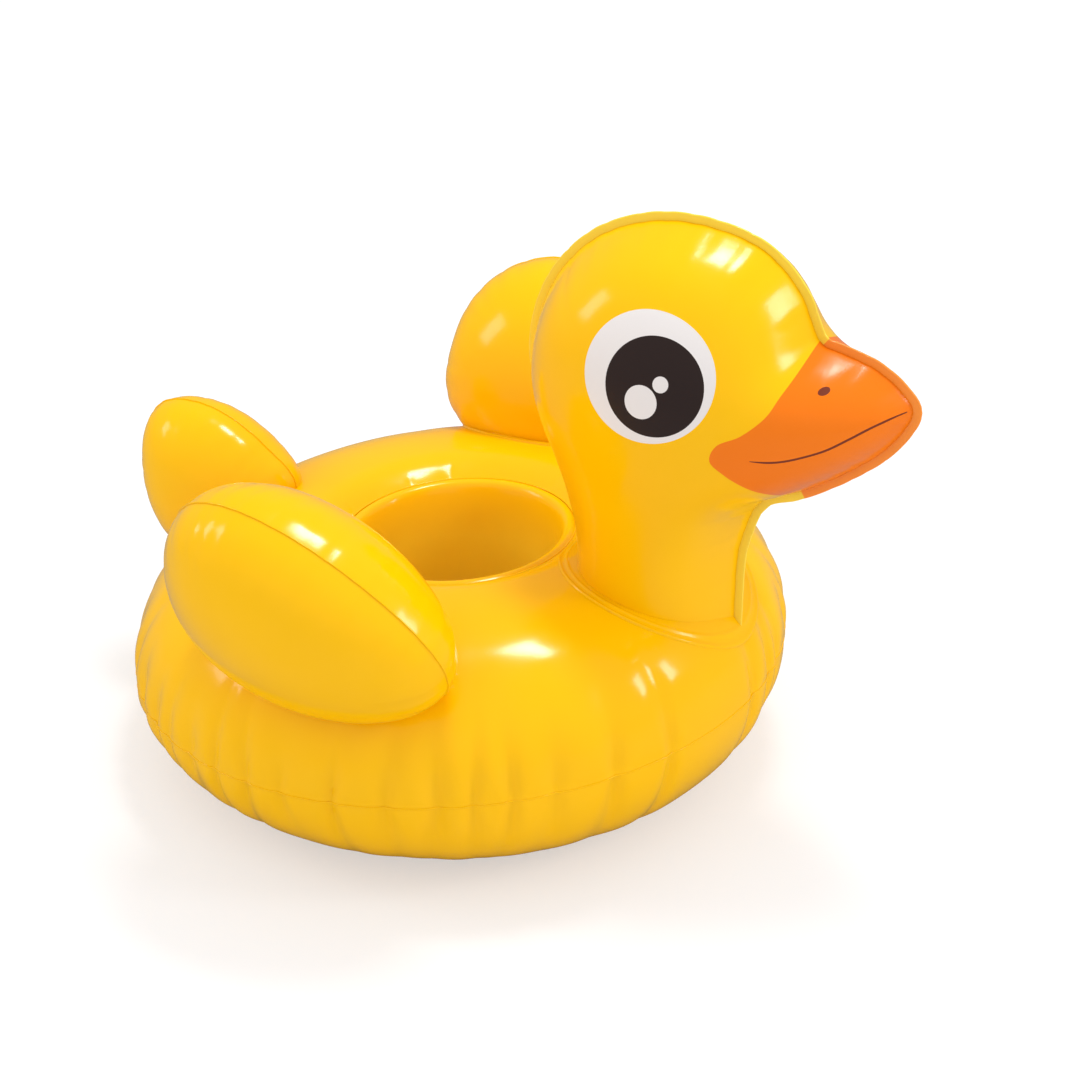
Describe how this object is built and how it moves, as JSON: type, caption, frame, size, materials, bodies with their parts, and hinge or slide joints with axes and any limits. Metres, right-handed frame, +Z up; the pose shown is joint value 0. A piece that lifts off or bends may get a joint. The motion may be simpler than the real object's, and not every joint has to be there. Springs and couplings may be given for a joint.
{
  "type": "inflatable duck float",
  "caption": "Small inflatable vinyl duck float: a round ring body with an open centre well, a head on a neck, two wings, a tail and a push-in air valve.",
  "frame": {"origin": "centre of the bounding box in plan, on the floor the float rests on", "axes": "+X towards the beak, +Y to the duck's left, +Z up"},
  "size_m": [0.3312, 0.29, 0.2408],
  "materials": {
    "yellow_vinyl": "glossy calendered PVC film",
    "orange_vinyl": "glossy printed PVC film",
    "white_ink": "printed ink on film",
    "dark_ink": "printed ink on film",
    "soft_vinyl": "moulded soft translucent PVC"
  },
  "bodies": {
    "ring": {"ring_top_panel": "yellow_vinyl", "ring_bottom_panel": "yellow_vinyl", "well_wall_panel": "yellow_vinyl", "neck_root_collar": "yellow_vinyl", "left_wing_root_collar": "yellow_vinyl", "right_wing_root_collar": "yellow_vinyl", "tail_root_collar": "yellow_vinyl", "valve_flange": "soft_vinyl"},
    "head": {"head_left_panel": "yellow_vinyl", "head_right_panel": "yellow_vinyl", "beak_left_panel": "orange_vinyl", "beak_right_panel": "orange_vinyl", "left_eye_white": "white_ink", "right_eye_white": "white_ink", "left_eye_pupil": "dark_ink", "right_eye_pupil": "dark_ink"},
    "left_wing": {"left_wing_outer_panel": "yellow_vinyl", "left_wing_inner_panel": "yellow_vinyl"},
    "right_wing": {"right_wing_outer_panel": "yellow_vinyl", "right_wing_inner_panel": "yellow_vinyl"},
    "tail": {"tail_left_panel": "yellow_vinyl", "tail_right_panel": "yellow_vinyl"},
    "stem": {"valve_stem": "soft_vinyl", "strap_ring": "soft_vinyl"},
    "flap": {"valve_flap": "soft_vinyl"},
    "plug": {"valve_plug": "soft_vinyl", "plug_strap": "soft_vinyl"}
  },
  "joints": [
    {"name": "neck_flex", "type": "hinge", "parent": "ring", "child": "head", "pos_m": [0.06947, 0, 0.104], "axis": [0, 1, 0], "range_deg": [-6, 6], "stiffness_Nm_per_rad": 2},
    {"name": "left_wing_flex", "type": "hinge", "parent": "ring", "child": "left_wing", "pos_m": [-0.02203, 0.0905, 0.09395], "axis": [-0.9877, -0.1564, 0], "range_deg": [-6, 6], "stiffness_Nm_per_rad": 0.8},
    {"name": "right_wing_flex", "type": "hinge", "parent": "ring", "child": "right_wing", "pos_m": [-0.02203, -0.0905, 0.09395], "axis": [0.9877, -0.1564, 0], "range_deg": [-6, 6], "stiffness_Nm_per_rad": 0.8},
    {"name": "tail_flex", "type": "hinge", "parent": "ring", "child": "tail", "pos_m": [-0.12203, 0, 0.08068], "axis": [-0.806, 0, -0.592], "range_deg": [-8, 8], "stiffness_Nm_per_rad": 0.8},
    {"name": "valve_recess", "type": "slide", "parent": "ring", "child": "stem", "axis": [-0.7552, 0.2509, 0.6055], "range_m": [-0.0055, 0]},
    {"name": "flap_swing", "type": "hinge", "parent": "stem", "child": "flap", "pos_m": [-0.12514, 0.03804, 0.06797], "axis": [-0.3152, -0.949, 0], "range_deg": [0, 50], "stiffness_Nm_per_rad": 0.0005},
    {"name": "plug_swing", "type": "hinge", "parent": "stem", "child": "plug", "pos_m": [-0.13312, 0.04069, 0.08103], "axis": [0.3152, 0.949, 0], "range_deg": [0, 150]}
  ]
}
